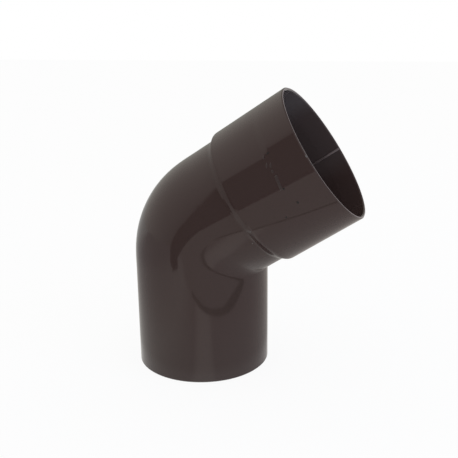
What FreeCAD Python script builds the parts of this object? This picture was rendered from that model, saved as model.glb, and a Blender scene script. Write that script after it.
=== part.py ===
# Downspout elbow: one moulded piece, with a plain spigot below and a pipe socket above.
# The lower leg stands on +Z with its rim at z = 0, and the bend leans towards +X.

import FreeCAD, Part
import math
import os
import Sketcher

doc = FreeCAD.newDocument("downspout_elbow")

# Driving dimensions, in millimetres and degrees
DIMENSIONS = (
    ("bend_angle", 56.5),
    ("bend_radius", 25.5),
    ("corner_rounding", 1.0),
    ("leg_length", 60.7),
    ("tube_radius", 40.0),
    ("wall", 2.0),
    ("neck_length", 14.9),
    ("shoulder_length", 3.6),
    ("shoulder_rounding", 3.0),
    ("collar_wall", 2.35),
    ("collar_length", 48.0),
    ("socket_clearance", 0.25),
    ("lead_in", 0.65),
    ("lead_in_length", 12.0),
    ("lip_bevel", 0.55),
    ("rim_bevel", 0.6),
)

sizes = doc.addObject("Spreadsheet::Sheet", "Sizes")
for row, (alias, value) in enumerate(DIMENSIONS, start=1):
    sizes.set("A%d" % row, alias.replace("_", " "))
    sizes.set("B%d" % row, str(value))
    sizes.setAlias("B%d" % row, alias)
doc.recompute()

elbow = doc.addObject("PartDesign::Body", "Elbow")
elbow.Label = "elbow"

# Sizes that follow from the sheet
BORE_RADIUS = "Sizes.tube_radius - Sizes.wall"
SOCKET_RADIUS = "Sizes.tube_radius + Sizes.socket_clearance"
MOUTH_RADIUS = SOCKET_RADIUS + " + Sizes.lead_in"
COLLAR_RADIUS = SOCKET_RADIUS + " + Sizes.collar_wall"
SHOULDER_TOP = "Sizes.neck_length + Sizes.shoulder_length"
MOUTH = SHOULDER_TOP + " + Sizes.collar_length"
PIVOT_X = "Sizes.tube_radius + Sizes.corner_rounding"
NECK_X = "(%s) * (1 - cos(Sizes.bend_angle * 1 deg))" % PIVOT_X
NECK_Z = "Sizes.leg_length + (%s) * sin(Sizes.bend_angle * 1 deg)" % PIVOT_X

BEND_SECTIONS = 8
SAME_EDGE = 0.001

# Places in a sketch: its axes, the ends and centre of an edge, and the parts of an oval
H_AXIS, V_AXIS = -1, -2
START, END, CENTRE = 1, 2, 3
ORIGIN_POINT = (H_AXIS, START)
OVAL, LONG_AXIS, SHORT_AXIS = 0, 1, 2


def new_sketch(name, role):
    sketch = elbow.newObject("Sketcher::SketchObject", name)
    plane = next(feature for feature in elbow.Origin.OriginFeatures if feature.Role == role)
    sketch.AttachmentSupport = [(plane, "")]
    sketch.MapMode = "FlatFace"
    return sketch


def value_of(holder, expression):
    return float(holder.evalExpression(expression))


def tie(sketch, kind, places, expression):
    """A dimension driven by the sheet."""
    index = sketch.addConstraint(Sketcher.Constraint(kind, *places, value_of(sketch, expression)))
    sketch.setExpression("Constraints[%d]" % index, expression)


def draw_outline(sketch, corners, roundings):
    """A closed outline of straight edges, some with rounded corners between them. A coordinate
    of None lies on the axis."""
    points = []
    for x, y in corners:
        across = value_of(sketch, x) if x else 0
        along = value_of(sketch, y) if y else 0
        points.append(FreeCAD.Vector(across, along, 0))
    for edge in range(len(points)):
        sketch.addGeometry(Part.LineSegment(points[edge], points[(edge + 1) % len(points)]))
    for edge, (x, y) in enumerate(corners):
        previous = (edge - 1) % len(corners)
        sketch.addConstraint(Sketcher.Constraint("Coincident", previous, END, edge, START))
        if x:
            tie(sketch, "DistanceX", (*ORIGIN_POINT, edge, START), x)
        else:
            sketch.addConstraint(Sketcher.Constraint("PointOnObject", edge, START, V_AXIS))
        if y:
            tie(sketch, "DistanceY", (*ORIGIN_POINT, edge, START), y)
        else:
            sketch.addConstraint(Sketcher.Constraint("PointOnObject", edge, START, H_AXIS))
    for corner, rounding in roundings.items():
        sketch.fillet(corner, START, value_of(sketch, rounding), True, True)
        tie(sketch, "Radius", (sketch.GeometryCount - 2,), rounding)


def turn(kind, name, sketch):
    """Revolves a sketch about its own vertical axis."""
    feature = elbow.newObject(kind, name)
    feature.Profile = sketch
    feature.ReferenceAxis = (sketch, ["V_Axis"])
    feature.Angle = 360
    doc.recompute()


def turn_lower(kind, name, corners):
    """A round form about the lower leg's axis."""
    sketch = new_sketch(name + "Sketch", "XZ_Plane")
    draw_outline(sketch, corners, {})
    turn(kind, name, sketch)


def turn_upper(kind, name, corners, roundings):
    """A round form about the upper leg's axis, measured from the end of the bend."""
    sketch = new_sketch(name + "Sketch", "XZ_Plane")
    leaning = FreeCAD.Rotation(FreeCAD.Vector(0, 0, 1), -value_of(sketch, "Sizes.bend_angle"))
    sketch.AttachmentOffset = FreeCAD.Placement(FreeCAD.Vector(), leaning)
    sketch.setExpression("AttachmentOffset.Base.x", NECK_X)
    sketch.setExpression("AttachmentOffset.Base.y", NECK_Z)
    sketch.setExpression("AttachmentOffset.Rotation.Angle", "-Sizes.bend_angle")
    draw_outline(sketch, corners, roundings)
    turn(kind, name, sketch)


def draw_circle(sketch, radius, gap):
    """A leg's own round section, on the far side of the pivot line."""
    sketch.addGeometry(Part.Circle(FreeCAD.Vector(), FreeCAD.Vector(0, 0, 1), value_of(sketch, radius)))
    sketch.addConstraint(Sketcher.Constraint("PointOnObject", OVAL, CENTRE, H_AXIS))
    tie(sketch, "Radius", (OVAL,), radius)
    tie(sketch, "DistanceX", (OVAL, CENTRE, *ORIGIN_POINT), "%s + %s" % (gap, radius))


def draw_oval(sketch, radius, gap, reach):
    """A section through the bend, from the inner corner to the outer arc."""
    near = -value_of(sketch, gap)
    far = -value_of(sketch, reach)
    middle = (near + far) / 2
    side = FreeCAD.Vector(middle, value_of(sketch, radius), 0)
    sketch.addGeometry(Part.Ellipse(FreeCAD.Vector(near, 0, 0), side, FreeCAD.Vector(middle, 0, 0)))
    sketch.exposeInternalGeometry(OVAL)
    sketch.addConstraint(Sketcher.Constraint("PointOnObject", LONG_AXIS, START, H_AXIS))
    sketch.addConstraint(Sketcher.Constraint("PointOnObject", LONG_AXIS, END, H_AXIS))
    tie(sketch, "DistanceX", (LONG_AXIS, START, *ORIGIN_POINT), gap)
    tie(sketch, "DistanceX", (LONG_AXIS, END, *ORIGIN_POINT), reach)
    tie(sketch, "Distance", (SHORT_AXIS,), "2 * (%s)" % radius)


def loft_bend(kind, name, radius, gap, ruled):
    """The bend. All its sections turn about one line just outside the inner corner, and each
    reaches across the tube to the arc of the outer side."""
    sketches = []
    for number in range(BEND_SECTIONS):
        share = number / (BEND_SECTIONS - 1)
        sketch = new_sketch("%sSection%d" % (name, number), "XY_Plane")
        leaning = FreeCAD.Rotation(FreeCAD.Vector(0, 1, 0), value_of(sketch, "Sizes.bend_angle * %g" % share))
        sketch.AttachmentOffset = FreeCAD.Placement(FreeCAD.Vector(), leaning)
        sketch.setExpression("AttachmentOffset.Base.x", PIVOT_X)
        sketch.setExpression("AttachmentOffset.Base.z", "Sizes.leg_length")
        sketch.setExpression("AttachmentOffset.Rotation.Angle", "Sizes.bend_angle * %g" % share)
        if share in (0, 1):
            draw_circle(sketch, radius, gap)
        else:
            from_middle = "Sizes.bend_angle * %g deg" % (share - 0.5)
            arc_centre = "(%s - Sizes.bend_radius) / cos(Sizes.bend_angle * 0.5 deg)" % PIVOT_X
            along = "%s * cos(%s)" % (arc_centre, from_middle)
            aside = "(%s * sin(%s))" % (arc_centre, from_middle)
            reach = "%s + sqrt((Sizes.bend_radius + %s) ^ 2 - %s ^ 2)" % (along, radius, aside)
            draw_oval(sketch, radius, gap, reach)
        sketches.append(sketch)
    feature = elbow.newObject(kind, name)
    feature.Profile = sketches[0]
    feature.Sections = [(sketch, [""]) for sketch in sketches[1:]]
    feature.Ruled = ruled
    doc.recompute()


def bevel(name, size, foot, axis, circles):
    """Bevels the round edges that lie at these radii and heights on a leg's axis."""
    base = elbow.Tip
    names = []
    for radius, height in circles:
        centre = foot + axis * value_of(elbow, height)
        for number, edge in enumerate(base.Shape.Edges, start=1):
            if not edge.Closed or edge.Degenerated or edge.Curve.TypeId != "Part::GeomCircle":
                continue
            off_radius = abs(edge.Curve.Radius - value_of(elbow, radius))
            if off_radius + (edge.Curve.Center - centre).Length < SAME_EDGE:
                names.append("Edge%d" % number)
    feature = elbow.newObject("PartDesign::Chamfer", name)
    feature.Base = (base, names)
    feature.setExpression("Size", size)
    doc.recompute()


# Outside
loft_bend("PartDesign::AdditiveLoft", "Bend", "Sizes.tube_radius", "Sizes.corner_rounding", False)
turn_lower("PartDesign::Revolution", "LowerLeg", (
    (None, None),
    ("Sizes.tube_radius", None),
    ("Sizes.tube_radius", "Sizes.leg_length"),
    (None, "Sizes.leg_length"),
))
turn_upper("PartDesign::Revolution", "UpperLeg", (
    (None, None),
    ("Sizes.tube_radius", None),
    ("Sizes.tube_radius", "Sizes.neck_length"),
    (COLLAR_RADIUS, SHOULDER_TOP),
    (COLLAR_RADIUS, MOUTH),
    (None, MOUTH),
), {2: "Sizes.shoulder_rounding", 3: "Sizes.shoulder_rounding"})

# Waterway, one wall inside, and the socket with its stop and lead-in
loft_bend("PartDesign::SubtractiveLoft", "BendBore", BORE_RADIUS, "Sizes.corner_rounding + Sizes.wall", True)
turn_lower("PartDesign::Groove", "LowerBore", (
    (None, None),
    (BORE_RADIUS, None),
    (BORE_RADIUS, "Sizes.leg_length"),
    (None, "Sizes.leg_length"),
))
turn_upper("PartDesign::Groove", "Socket", (
    (None, None),
    (BORE_RADIUS, None),
    (BORE_RADIUS, SHOULDER_TOP),
    (SOCKET_RADIUS, SHOULDER_TOP),
    (SOCKET_RADIUS, MOUTH + " - Sizes.lead_in_length"),
    (MOUTH_RADIUS, MOUTH),
    (None, MOUTH),
), {})

# Bevels of the mouth and the spigot's rim
tilt = math.radians(value_of(elbow, "Sizes.bend_angle"))
neck_foot = FreeCAD.Vector(value_of(elbow, NECK_X), 0, value_of(elbow, NECK_Z))
neck_axis = FreeCAD.Vector(math.sin(tilt), 0, math.cos(tilt))
bevel("Lip", "Sizes.lip_bevel", neck_foot, neck_axis, (
    (COLLAR_RADIUS, MOUTH),
    (MOUTH_RADIUS, MOUTH),
))
bevel("Rim", "Sizes.rim_bevel", FreeCAD.Vector(), FreeCAD.Vector(0, 0, 1), (
    ("Sizes.tube_radius", "0"),
    (BORE_RADIUS, "0"),
))

for item in doc.Objects:
    if "Invalid" in item.State or "Error" in item.State:
        raise RuntimeError("%s did not build" % item.Name)
if elbow.Shape.isNull() or not elbow.Shape.isValid():
    raise RuntimeError("the elbow's solid is not valid")

os.makedirs("parts", exist_ok=True)
elbow.Shape.exportStep("parts/%s.step" % elbow.Label)
print(elbow.Label, "volume %.0f mm3" % elbow.Shape.Volume, elbow.Shape.BoundBox)
print("solids", len(elbow.Shape.Solids), "faces", len(elbow.Shape.Faces), "edges", len(elbow.Shape.Edges))
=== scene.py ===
import math

import bmesh
import bpy
from mathutils import Matrix, Vector


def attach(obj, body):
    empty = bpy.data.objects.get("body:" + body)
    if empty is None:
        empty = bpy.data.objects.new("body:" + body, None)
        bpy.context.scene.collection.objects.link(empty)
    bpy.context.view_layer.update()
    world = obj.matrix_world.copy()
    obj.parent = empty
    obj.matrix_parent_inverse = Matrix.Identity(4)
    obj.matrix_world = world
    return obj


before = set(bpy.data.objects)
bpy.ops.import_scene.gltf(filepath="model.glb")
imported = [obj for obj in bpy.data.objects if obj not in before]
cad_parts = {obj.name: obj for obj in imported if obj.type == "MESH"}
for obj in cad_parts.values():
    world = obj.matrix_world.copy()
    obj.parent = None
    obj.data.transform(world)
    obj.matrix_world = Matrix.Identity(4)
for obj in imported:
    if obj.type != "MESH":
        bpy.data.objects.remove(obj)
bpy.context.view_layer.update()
print("elbow loaded")

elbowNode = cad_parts["elbow"]
upperLeg = {"foot": (0.01837, 0, 0.09489), "lean": math.radians(56.5)}  # its own Z runs up its axis
mm = 0.001


# helpers for the finishes

# A plain value goes on the socket itself, and the output of another node is linked to it
def feed(tree, socket, value):
    if isinstance(value, bpy.types.NodeSocket):
        tree.links.new(value, socket)
    elif socket.type == "RGBA":
        socket.default_value = (*value, 1)
    else:
        socket.default_value = value


# A weight that rises from 0 to 1 as the value goes from one place to another
def ramp(tree, value, start, stop):
    fade = tree.nodes.new("ShaderNodeMapRange")
    fade.interpolation_type = "SMOOTHSTEP"
    feed(tree, fade.inputs["Value"], value)
    feed(tree, fade.inputs["From Min"], start)
    feed(tree, fade.inputs["From Max"], stop)
    return fade.outputs["Result"]


def combine(tree, operation, first, second):
    step = tree.nodes.new("ShaderNodeMath")
    step.operation = operation
    feed(tree, step.inputs[0], first)
    feed(tree, step.inputs[1], second)
    return step.outputs[0]


# The weight of a place that lies within all the limits, each with what it measures and where it fades in
def weigh(tree, measures, limits):
    weight = None
    for name, start, stop in limits:
        side = ramp(tree, measures[name], start, stop)
        weight = combine(tree, "MULTIPLY", weight, side) if weight else side
    return weight


# A colour that turns into another one as the weight rises
def tint(tree, weight, below, above):
    mix = tree.nodes.new("ShaderNodeMix")
    mix.data_type = "RGBA"
    feed(tree, mix.inputs["Factor"], weight)
    feed(tree, mix.inputs["A"], below)
    feed(tree, mix.inputs["B"], above)
    return mix.outputs["Result"]


# A shader that turns into another one as the share rises
def blend(tree, share, first, second):
    mix = tree.nodes.new("ShaderNodeMixShader")
    feed(tree, mix.inputs["Fac"], share)
    feed(tree, mix.inputs[1], first)
    feed(tree, mix.inputs[2], second)
    return mix.outputs[0]


# How far a direction points along an axis
def facing(tree, direction, axis):
    towards = tree.nodes.new("ShaderNodeVectorMath")
    towards.operation = "DOT_PRODUCT"
    feed(tree, towards.inputs[0], direction)
    feed(tree, towards.inputs[1], Vector(axis).normalized())
    return towards.outputs["Value"]


# The sum of some tones, each scaled by its own weight
def sumTones(tree, parts):
    total = None
    for weight, tone in parts:
        step = tree.nodes.new("ShaderNodeVectorMath")
        step.operation = "MULTIPLY_ADD"
        feed(tree, step.inputs[0], weight)
        feed(tree, step.inputs[1], tone)
        if total:
            feed(tree, step.inputs[2], total)
        total = step.outputs[0]
    return total


# brown plastic

# The limits are places on the upper leg, along its own axes or out from its middle
outside = ("radius", 0.0390, 0.0395)
brownPvc = {
    "colour": (0.0467, 0.0295, 0.0268),
    "roughness": 0.07,
    "ior": 1.5,
    "peelScale": 55,  # moulding ripple, in waves per metre
    "peelDetail": 1,
    "peelDepth": 0.00005,
}
paintedSocketLight = {  # painted light inside the socket: a pale bluish film in two layers, thicker towards the top, where more light falls
    "colour": (0.26, 0.268, 0.28),
    "limits": (("radius", 0.0416, 0.0412), ("z", 0.0180, 0.0190)),
    "layers": ((0.07, "x", 0.022, 0.008), (0.13, "x", -0.02, -0.034)),
}
paintedStepShade = {  # painted shade along the upper side of the step, darkening its shading there
    "colour": (0.042, 0.025, 0.0225),
    "limits": (outside, ("z", 0.0145, 0.0160), ("z", 0.0196, 0.0180), ("x", 0.002, -0.010)),
}
softStep = {  # the shading of the step is gentler than its shape, most of all on the upper side
    "rise": 0.0017,
    "limits": (outside, ("z", 0.0143, 0.0196)),
    "upperSide": (("x", 0.0135, 0.0085),),
    "least": 0.3,
}
bulge = {  # the near side of the collar is slightly uneven between the marks and the mouth
    "rise": 0.00055,
    "limits": (outside, ("z", 0.0455, 0.0505), ("x", -0.0155, -0.0225), ("x", -0.0420, -0.0230), ("y", 0, -0.01)),
}


# Where a place lies on the upper leg
def measureLeg(tree, place, leg):
    legFrame = tree.nodes.new("ShaderNodeMapping")
    legFrame.vector_type = "TEXTURE"
    feed(tree, legFrame.inputs["Vector"], place)
    feed(tree, legFrame.inputs["Location"], leg["foot"])
    feed(tree, legFrame.inputs["Rotation"], (0, leg["lean"], 0))
    split = tree.nodes.new("ShaderNodeSeparateXYZ")
    feed(tree, split.inputs[0], legFrame.outputs[0])
    x, y, z = split.outputs
    across, aside = (combine(tree, "POWER", value, 2) for value in (x, y))
    radius = combine(tree, "POWER", combine(tree, "ADD", across, aside), 0.5)
    return {"x": x, "y": y, "z": z, "radius": radius}


# One layer of relief in the shading, on top of the one before
def addRelief(tree, height, rise, below=None):
    relief = tree.nodes.new("ShaderNodeBump")
    feed(tree, relief.inputs["Height"], height)
    feed(tree, relief.inputs["Distance"], rise)
    if below:
        feed(tree, relief.inputs["Normal"], below.outputs["Normal"])
    return relief


# Adds up the layers of painted light inside the socket, each with its own share
def addPaintedLight(tree, measures, layers):
    paintedLight = None
    for share, *limit in layers:
        layer = combine(tree, "MULTIPLY", weigh(tree, measures, [limit]), share)
        paintedLight = combine(tree, "ADD", paintedLight, layer) if paintedLight else layer
    return paintedLight


def makeBrownPvc(look, leg):
    finish = bpy.data.materials.new("brownPvc")
    finish.use_nodes = True
    tree = finish.node_tree
    shader = tree.nodes["Principled BSDF"]
    feed(tree, shader.inputs["Roughness"], look["roughness"])
    feed(tree, shader.inputs["IOR"], look["ior"])
    place = tree.nodes.new("ShaderNodeTexCoord").outputs["Object"]
    measures = measureLeg(tree, place, leg)

    # painted shade: the base colour turns darker along the upper side of the step
    stepShadedColour = tint(tree, weigh(tree, measures, paintedStepShade["limits"]), look["colour"], paintedStepShade["colour"])
    # painted light: a pale bluish film inside the socket, lighter towards its top
    paintedLight = addPaintedLight(tree, measures, paintedSocketLight["layers"])
    socketLightShare = combine(tree, "MULTIPLY", weigh(tree, measures, paintedSocketLight["limits"]), paintedLight)
    feed(tree, shader.inputs["Base Color"], tint(tree, socketLightShare, stepShadedColour, paintedSocketLight["colour"]))

    uneven = addRelief(tree, weigh(tree, measures, bulge["limits"]), bulge["rise"])
    soft = addRelief(tree, weigh(tree, measures, softStep["limits"]), softStep["rise"], uneven)
    soft.invert = True
    share = combine(tree, "MAXIMUM", weigh(tree, measures, softStep["upperSide"]), softStep["least"])
    feed(tree, soft.inputs["Strength"], share)
    peel = tree.nodes.new("ShaderNodeTexNoise")
    feed(tree, peel.inputs["Vector"], place)
    feed(tree, peel.inputs["Scale"], look["peelScale"])
    feed(tree, peel.inputs["Detail"], look["peelDetail"])
    ripple = addRelief(tree, peel.outputs["Fac"], look["peelDepth"], soft)
    feed(tree, shader.inputs["Normal"], ripple.outputs["Normal"])
    return finish


elbowNode.data.materials.clear()
elbowNode.data.materials.append(makeBrownPvc(brownPvc, upperLeg))
print("plastic done")


# pieces on the upper leg

legPlace = Matrix.Translation(upperLeg["foot"]) @ Matrix.Rotation(upperLeg["lean"], 4, "Y")
grain = {"sides": 12, "rings": 8}


def makePlain(name, look):
    finish = bpy.data.materials.new(name)
    finish.use_nodes = True
    shader = finish.node_tree.nodes["Principled BSDF"]
    feed(finish.node_tree, shader.inputs["Base Color"], look["colour"])
    feed(finish.node_tree, shader.inputs["Roughness"], look["roughness"])
    return finish


def addObject(name, shape, finish):
    mesh = bpy.data.meshes.new(name)
    shape.to_mesh(mesh)
    shape.free()
    mesh.materials.append(finish)
    item = bpy.data.objects.new(name, mesh)
    bpy.context.scene.collection.objects.link(item)
    return item


def addPiece(name, shape, look):
    bmesh.ops.recalc_face_normals(shape, faces=shape.faces)
    for face in shape.faces:
        face.smooth = len(face.verts) <= 4  # the flat ends have more corners, and stay flat
    bmesh.ops.transform(shape, matrix=legPlace, verts=shape.verts)
    piece = addObject(name, shape, makePlain(name, look))
    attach(piece, "root")


# A place on the wall of the upper leg: degrees above the near side, radius and height up the leg
def wallPlace(angle, radius, height):
    return Matrix.Rotation(math.radians(-90 - angle), 4, "Z") @ Matrix.Translation((radius, 0, height))


# A rounded grain there, with its half sizes out from the wall, round it and up it
def addGrain(shape, place, halfSizes, tilt=0):
    stretch = Matrix.Rotation(tilt, 4, "X") @ Matrix.Diagonal((*halfSizes, 1))
    bmesh.ops.create_uvsphere(shape, u_segments=grain["sides"], v_segments=grain["rings"], radius=1,
                              matrix=place @ stretch)


def closeEnds(shape):
    openEdges = [edge for edge in shape.edges if edge.is_boundary]
    bmesh.ops.holes_fill(shape, edges=openEdges, sides=0)


# marks of the mould

marks = {
    "halfDepth": 0.12,
    # angle, height, half length and half width; lengths in millimetres, as in all the lists of small marks
    "grains": ((24.2, 46.0, 1.1, 0.5), (18.0, 45.6, 1.5, 0.5), (16.5, 47.5, 1.5, 0.5), (12.2, 46.8, 0.9, 0.7)),
    "tilt": math.radians(62),  # of the grains, from the length of the leg
    "collarRadius": 42.6,
    "barAngle": 8.6,
    "barHeight": 47.2,
    "barTurn": math.radians(11),  # how far the bar reaches round the collar
    "barDrift": -1.4,  # along the leg on its way
    "barHalfWidth": 0.8,
    "barSides": 12,
    "barSteps": 12,
    "colour": (0.052, 0.036, 0.033),
    "roughness": 0.3,
}


def addBar(shape, look):
    place = wallPlace(look["barAngle"], look["collarRadius"] * mm, look["barHeight"] * mm)
    flatten = Matrix.Diagonal((look["halfDepth"] * mm, 1, look["barHalfWidth"] * mm, 1))
    upright = Matrix.Rotation(math.radians(90), 4, "X")
    profile = bmesh.ops.create_circle(shape, segments=look["barSides"], radius=1, matrix=place @ flatten @ upright)
    corners = profile["verts"]
    sides = list({edge for corner in corners for edge in corner.link_edges})
    bmesh.ops.spin(shape, geom=corners + sides, cent=(0, 0, 0), axis=(0, 0, 1), angle=look["barTurn"],
                   dvec=(0, 0, look["barDrift"] * mm / look["barSteps"]), steps=look["barSteps"])


mouldMarks = bmesh.new()
for angle, height, halfLength, halfWidth in marks["grains"]:
    addGrain(mouldMarks, wallPlace(angle, marks["collarRadius"] * mm, height * mm),
             (marks["halfDepth"] * mm, halfWidth * mm, halfLength * mm), marks["tilt"])
addBar(mouldMarks, marks)
closeEnds(mouldMarks)
addPiece("mouldMarks", mouldMarks, marks)


# weld line across the far side of the socket

weld = {
    "side": 0.0056,  # how far it lies towards the leg's X
    "stops": ((0.019, 0.04025), (0.0545, 0.04025), (0.0661, 0.0409)),  # heights, with the wall's radius there
    "radius": 0.0007,
    "sides": 12,
    "colour": (0.13, 0.1, 0.095),
    "roughness": 0.25,
}
weldLine = bmesh.new()
bends = [Vector((weld["side"], math.sqrt(wallRadius ** 2 - weld["side"] ** 2), height))
         for height, wallRadius in weld["stops"]]
ring = bmesh.ops.create_circle(weldLine, segments=weld["sides"], radius=weld["radius"],
                               matrix=Matrix.Translation(bends[0]))["verts"]
for low, high in zip(bends, bends[1:]):
    ringEdges = [edge for edge in weldLine.edges if edge.verts[0] in ring and edge.verts[1] in ring]
    grown = bmesh.ops.extrude_edge_only(weldLine, edges=ringEdges)["geom"]
    ring = [item for item in grown if isinstance(item, bmesh.types.BMVert)]
    bmesh.ops.translate(weldLine, verts=ring, vec=high - low)
closeEnds(weldLine)
addPiece("weldLine", weldLine, weld)


# dark specks and scuffs

# angle, radius and height on the upper leg, then the half sizes
# small dark grains on the collar
darkSpecks = {
    "places": ((-16.0, 42.58, 49.1, 0.06, 0.9, 0.6), (-21.5, 42.58, 39.0, 0.05, 0.5, 0.6),
               (25.1, 42.58, 48.9, 0.06, 0.5, 1.0), (-2.3, 42.58, 47.2, 0.05, 0.6, 0.5)),
    "colour": (0.02, 0.014, 0.013),
    "roughness": 0.5,
}
scuffs = {
    "places": ((-28.8, 39.99, 13.4, 0.05, 0.35, 0.35), (-17.0, 42.3, 18.2, 0.06, 0.4, 0.3),
               (8.8, 42.35, 66.0, 0.3, 0.9, 0.4), (2.4, 41.85, 66.5, 0.35, 0.6, 0.08)),
    "colour": (0.11, 0.1, 0.095),
    "roughness": 0.45,
}
for name, look in (("darkSpecks", darkSpecks), ("scuffs", scuffs)):
    spots = bmesh.new()
    for angle, radius, height, *halfSizes in look["places"]:
        addGrain(spots, wallPlace(angle, radius * mm, height * mm), [size * mm for size in halfSizes])
    addPiece(name, spots, look)
print("marks done")


# table

# All the tones from here on are what the gloss of the plastic mirrors; the camera sees white
table = {
    "edgeNormal": (0.656, -0.755),  # the white sheet ends along this line, in front of the elbow
    "edgeDistance": 0.1355,
    "frontEdge": -0.465,
    "reach": 3.0,
    "paper": (0.95, 0.95, 0.95),
    "shadowShare": 0.08,  # how much of the shadow the camera sees
    "streak": math.radians(17),  # the heading of a lighter streak towards the camera
    "sheetTones": (  # what is measured, where the tone fades in, and the tone
        ("distance", 0.16, 0.05, (0.473, 0.451, 0.431)),
        ("distance", 0.05, 0.16, (0.423, 0.381, 0.36)),
        ("y", 0, 0.3, (0.224, 0.237, 0.214)),
        ("x", 0, -0.3, (-0.247, -0.229, -0.191)),
        ("x", 0.02, -0.06, (0.191, 0.203, 0.188)),
        ("streak", 0.97, 0.999, (0.246, 0.23, 0.21)),
        ("distance", 0.062, 0.042, (0.2, 0.2, 0.2)),
    ),
    "tableTone": (0.399, 0.37, 0.345),
}


def emptyMaterial(name):
    finish = bpy.data.materials.new(name)
    finish.use_nodes = True
    finish.node_tree.nodes.clear()
    surface = finish.node_tree.nodes.new("ShaderNodeOutputMaterial").inputs["Surface"]
    return finish, finish.node_tree, surface


# Where a place lies on the sheet, with the elbow's foot in the middle
def measureSheet(tree, spec):
    place = tree.nodes.new("ShaderNodeTexCoord").outputs["Object"]
    split = tree.nodes.new("ShaderNodeSeparateXYZ")
    distance = tree.nodes.new("ShaderNodeVectorMath")
    distance.operation = "LENGTH"
    heading = tree.nodes.new("ShaderNodeVectorMath")
    heading.operation = "NORMALIZE"
    for node in (split, distance, heading):
        feed(tree, node.inputs[0], place)
    axis = (math.sin(spec["streak"]), -math.cos(spec["streak"]), 0)
    return {"x": split.outputs["X"], "y": split.outputs["Y"], "distance": distance.outputs["Value"],
            "streak": facing(tree, heading.outputs[0], axis)}


def shadeSheet(tree, spec):
    measures = measureSheet(tree, spec)
    return sumTones(tree, [(weigh(tree, measures, [limit]), tone) for *limit, tone in spec["sheetTones"]])


# White to the camera, its own tone in the gloss, and plain paper to the light
def makePaper(name, spec, tone):
    finish, tree, surface = emptyMaterial(name)
    path = tree.nodes.new("ShaderNodeLightPath")
    paper = tree.nodes.new("ShaderNodeBsdfDiffuse")
    feed(tree, paper.inputs["Color"], spec["paper"])
    white = tree.nodes.new("ShaderNodeEmission")
    glow = tree.nodes.new("ShaderNodeEmission")
    feed(tree, glow.inputs["Color"], tone or shadeSheet(tree, spec))
    seen = blend(tree, spec["shadowShare"], white.outputs[0], paper.outputs[0])
    unseen = blend(tree, path.outputs["Is Glossy Ray"], paper.outputs[0], glow.outputs[0])
    feed(tree, surface, blend(tree, path.outputs["Is Camera Ray"], unseen, seen))
    return finish


# A strip of the table between two distances from the origin, along the sheet's edge
def stageSheet(name, spec, low, high, tone):
    normal = Vector((*spec["edgeNormal"], 0)).normalized()
    shape = bmesh.new()
    bmesh.ops.create_grid(shape, x_segments=1, y_segments=1, size=spec["reach"])
    cuts = ((normal * high, normal), (normal * low, -normal),
            (Vector((0, spec["frontEdge"], 0)), Vector((0, -1, 0))))
    for place, away in cuts:
        everything = list(shape.verts) + list(shape.edges) + list(shape.faces)
        bmesh.ops.bisect_plane(shape, geom=everything, plane_co=place, plane_no=away, clear_outer=True)
    sheet = addObject(name, shape, makePaper(name, spec, tone))


farOff = table["reach"] * 2
stageSheet("whiteSheet", table, -farOff, table["edgeDistance"], None)
stageSheet("tableTop", table, table["edgeDistance"], farOff, table["tableTone"])


# dark and bright shapes of the room

room = {
    "wallY": -0.9,
    "wallOutline": ((-0.93, 0.66), (-0.79, 0.485), (-0.736, 0.414), (-0.692, 0.344), (-0.673, 0.268),
                    (-0.709, 0.198), (-0.776, 0.102), (-0.831, -0.029), (-0.82, -0.06), (2.5, -0.06), (2.5, 0.66)),
    "wallTone": (0.021, 0.029, 0.028),
    "footOutline": ((-0.82, -0.06), (-0.82, -1), (2.5, -1), (2.5, -0.06)),
    "footTone": (0, 0, 0),
    "tailOutline": ((-0.42, -0.465), (-0.344, -0.397), (-0.233, -0.301), (-0.175, -0.243), (-0.118, -0.209),
                    (-0.09, -0.23), (-0.133, -0.276), (-0.141, -0.337), (-0.139, -0.369), (-0.15, -0.465)),
    "tailLift": 0.0005,  # above the table
    "tailTone": (0, 0.022, 0.021),
    "rimPanel": ((0.2, 1.2, -0.02), (0.75, 1.2, -0.02), (0.75, 1.2, 0.45), (0.2, 1.2, 0.45)),
    "rimTone": (0.75, 0.69, 0.70),
    # where the edge of the white sheet curls up: along the edge, and up; its dark tone is painted shade on the
    # curled edge
    "curlOutline": ((-0.115, 0), (0.135, 0), (0.12, 0.0105), (0.08, 0.0125), (0.05, 0.0115), (0.03, 0.009),
                    (0.01, 0.0068), (-0.03, 0.0052), (-0.115, 0.0046)),
    "curlShade": (0.087, 0.116, 0.086),
}


# A panel that only the gloss mirrors
def stagePanel(name, corners, tone):
    finish, tree, surface = emptyMaterial(name)
    glow = tree.nodes.new("ShaderNodeEmission")
    feed(tree, glow.inputs["Color"], tone)
    feed(tree, surface, glow.outputs[0])
    shape = bmesh.new()
    shape.faces.new([shape.verts.new(corner) for corner in corners])
    panel = addObject(name, shape, finish)
    panel.visible_camera = False
    panel.visible_diffuse = False
    panel.visible_shadow = False


# A place on the edge of the white sheet
def edgePlace(spec, along, up):
    normal = Vector((*spec["edgeNormal"], 0)).normalized()
    return normal * spec["edgeDistance"] + Vector((-normal.y, normal.x, 0)) * along + Vector((0, 0, up))


stagePanel("darkWall", [(x, room["wallY"], z) for x, z in room["wallOutline"]], room["wallTone"])
stagePanel("wallFoot", [(x, room["wallY"], z) for x, z in room["footOutline"]], room["footTone"])
stagePanel("darkTail", [(x, y, room["tailLift"]) for x, y in room["tailOutline"]], room["tailTone"])
stagePanel("rimPanel", room["rimPanel"], room["rimTone"])
# the curled edge of the white sheet, dark in the gloss with painted shade
stagePanel("sheetCurl", [edgePlace(table, along, up) for along, up in room["curlOutline"]], room["curlShade"])


# sky and lamp

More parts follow.
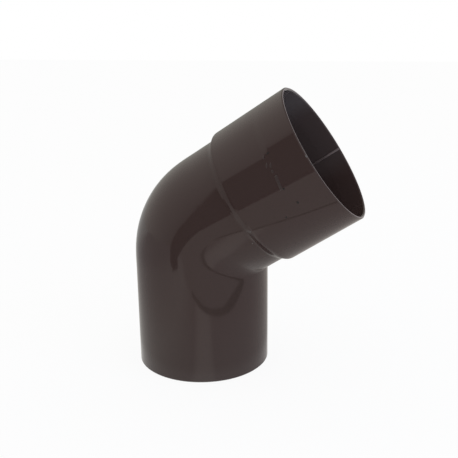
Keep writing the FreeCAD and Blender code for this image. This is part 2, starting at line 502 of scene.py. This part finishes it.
dome = {
    "light": 1.0,
    "spread": (0.2, 1.0),  # how far a direction points at a patch, where the patch starts and is whole
    "patches": (  # where each soft patch of the room lies, and its tone
        ((0, 0, 1), (0.153, 0.143, 0.129)),
        ((-1, 0, 0.2), (0.428, 0.427, 0.413)),
        ((-0.7, 0.7, 0.2), (0.134, 0.133, 0.114)),
        ((0, 1, 0.2), (0.174, 0.176, 0.159)),
        ((1, 0, 0.2), (0.28, 0.28, 0.28)),
        ((-0.7, 0.1, 0.7), (0.03, 0, 0)),
    ),
}
window = {
    "place": (1.0, -0.3, 0.6),
    "aim": (0.02, 0, 0.08),
    "size": 0.6,
    "power": 2.8,
    "colour": (0.47, 0.62, 1.00),
}


# White to the camera, the patches in the gloss, and an even light
def makeSky(spec):
    world = bpy.data.worlds.new("studio")
    bpy.context.scene.world = world
    world.use_nodes = True
    tree = world.node_tree
    tree.nodes.clear()
    surface = tree.nodes.new("ShaderNodeOutputWorld").inputs["Surface"]
    path = tree.nodes.new("ShaderNodeLightPath")
    way = tree.nodes.new("ShaderNodeTexCoord").outputs["Generated"]
    light, gloss, white = (tree.nodes.new("ShaderNodeBackground") for part in range(3))
    feed(tree, light.inputs["Strength"], spec["light"])
    feed(tree, white.inputs["Color"], (1, 1, 1))
    parts = [(ramp(tree, facing(tree, way, axis), *spec["spread"]), tone) for axis, tone in spec["patches"]]
    feed(tree, gloss.inputs["Color"], sumTones(tree, parts))
    unseen = blend(tree, path.outputs["Is Glossy Ray"], light.outputs[0], gloss.outputs[0])
    feed(tree, surface, blend(tree, path.outputs["Is Camera Ray"], unseen, white.outputs[0]))


def addLamp(name, spec):
    data = bpy.data.lights.new(name, "AREA")
    data.size = spec["size"]
    data.energy = spec["power"]
    data.color = spec["colour"]
    softbox = bpy.data.objects.new(name, data)
    softbox.location = spec["place"]
    beam = Vector(spec["aim"]) - Vector(spec["place"])
    softbox.rotation_euler = beam.to_track_quat("-Z", "Y").to_euler()
    softbox.visible_glossy = False
    bpy.context.scene.collection.objects.link(softbox)


makeSky(dome)
addLamp("windowLight", window)
print("stage done")


# camera

view = {
    "target": (0.02032, 0, 0.08256),
    "azimuth": 15.12,
    "elevation": 16.34,
    "roll": -0.64,
    "distance": 0.4387,
    "sensor": 36,
    "lens": 57.69,
    "shift": (-0.011, 0.00245),
}


def addCamera(spec):
    around, above, roll = (math.radians(spec[key]) for key in ("azimuth", "elevation", "roll"))
    back = Vector((math.sin(around) * math.cos(above), -math.cos(around) * math.cos(above), math.sin(above)))
    level = Vector((math.cos(around), math.sin(around), 0))
    upward = back.cross(level)
    right = level * math.cos(roll) + upward * math.sin(roll)
    top = upward * math.cos(roll) - level * math.sin(roll)
    data = bpy.data.cameras.new("camera")
    data.sensor_width = spec["sensor"]
    data.lens = spec["lens"]
    data.shift_x, data.shift_y = spec["shift"]
    camera = bpy.data.objects.new("camera", data)
    stand = Matrix((right, top, back)).transposed().to_4x4()
    stand.translation = Vector(spec["target"]) + back * spec["distance"]
    camera.matrix_world = stand
    bpy.context.scene.collection.objects.link(camera)
    bpy.context.scene.camera = camera


addCamera(view)
bpy.context.scene.view_settings.view_transform = "Standard"
